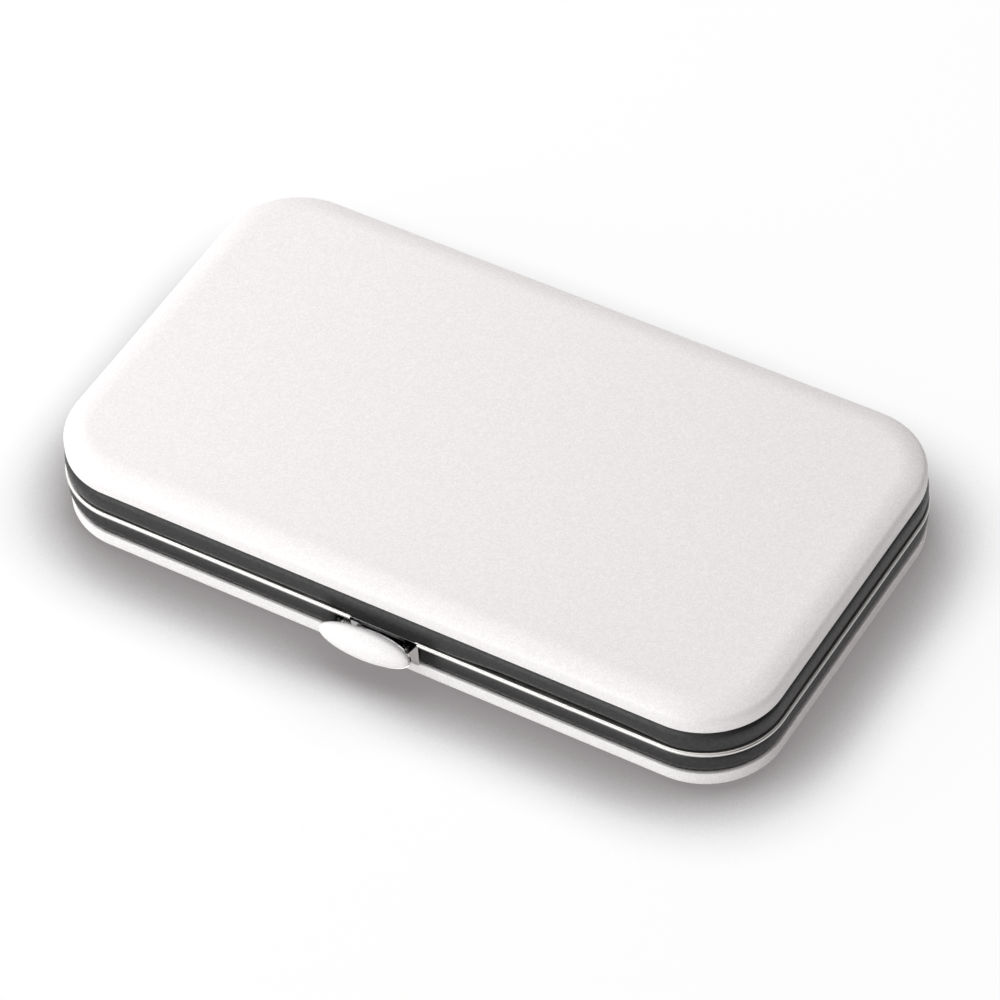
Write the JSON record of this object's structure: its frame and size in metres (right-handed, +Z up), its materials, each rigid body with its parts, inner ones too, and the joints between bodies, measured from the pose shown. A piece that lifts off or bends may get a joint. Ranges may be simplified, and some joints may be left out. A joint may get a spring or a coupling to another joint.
{
  "type": "manicure set case",
  "caption": "Slim hinged metal case with grained bands round its rim and a sprung clasp, fitted inside with manicure tools in a tray and under elastic straps.",
  "frame": {"origin": "centre of the flat face of the lower cover that the closed case rests on", "axes": "+X along the case, -Y towards the clasp, +Y towards the hinge, +Z up through the lid"},
  "size_m": [0.116, 0.0705, 0.0153],
  "materials": {
    "cover": "satin, fine sparkle grain",
    "rim_metal": "bright satin",
    "bead": "fine grain, semi gloss",
    "hinge_metal": "satin",
    "clasp_metal": "bright",
    "clasp_housing": "black gloss enamel",
    "clasp_lever": "bright chrome plate",
    "pin_metal": "satin",
    "clasp_tab": "satin",
    "spring_wire": "drawn wire",
    "flocked_tray": "flocked",
    "lid_panel": "flocked",
    "strap": "woven elastic",
    "tool_steel": "polished",
    "tool_fastener": "polished",
    "file_steel": "cut grain faces"
  },
  "bodies": {
    "lower_half": {"lower_cover": "cover", "lower_frame": "rim_metal", "lower_bead": "bead", "lower_tray": "flocked_tray", "lower_hinge_leaf": "hinge_metal", "hinge_pin": "hinge_metal", "latch_housing": "clasp_housing", "latch_pin": "pin_metal", "latch_spring": "spring_wire", "scissor_blade_lower": "tool_steel", "scissor_blade_upper": "tool_steel", "scissor_screw": "tool_fastener", "clipper_lower_jaw": "tool_steel", "clipper_upper_jaw": "tool_steel", "clipper_lever": "tool_steel", "clipper_stud": "tool_fastener", "clipper_rivet": "tool_fastener", "tweezers": "tool_steel"},
    "lid": {"upper_cover": "cover", "upper_frame": "rim_metal", "upper_bead": "bead", "upper_panel": "lid_panel", "upper_hinge_leaf": "hinge_metal", "catch_plate": "clasp_metal", "left_strap": "strap", "right_strap": "strap", "nail_file": "file_steel", "cuticle_pusher": "tool_steel"},
    "latch": {"latch_lever": "clasp_lever", "clasp_tab": "clasp_tab"}
  },
  "joints": [
    {"name": "lid_hinge", "type": "hinge", "parent": "lower_half", "child": "lid", "pos_m": [0, 0.03335, 0.00786], "axis": [-1, 0, 0], "range_deg": [0, 180]},
    {"name": "clasp_press", "type": "hinge", "parent": "lower_half", "child": "latch", "pos_m": [0, -0.03155, 0.00504], "axis": [1, 0, 0], "range_deg": [0, 10], "stiffness_Nm_per_rad": 0.02, "springref_deg": -14.9, "deforming": ["latch_spring"]}
  ]
}
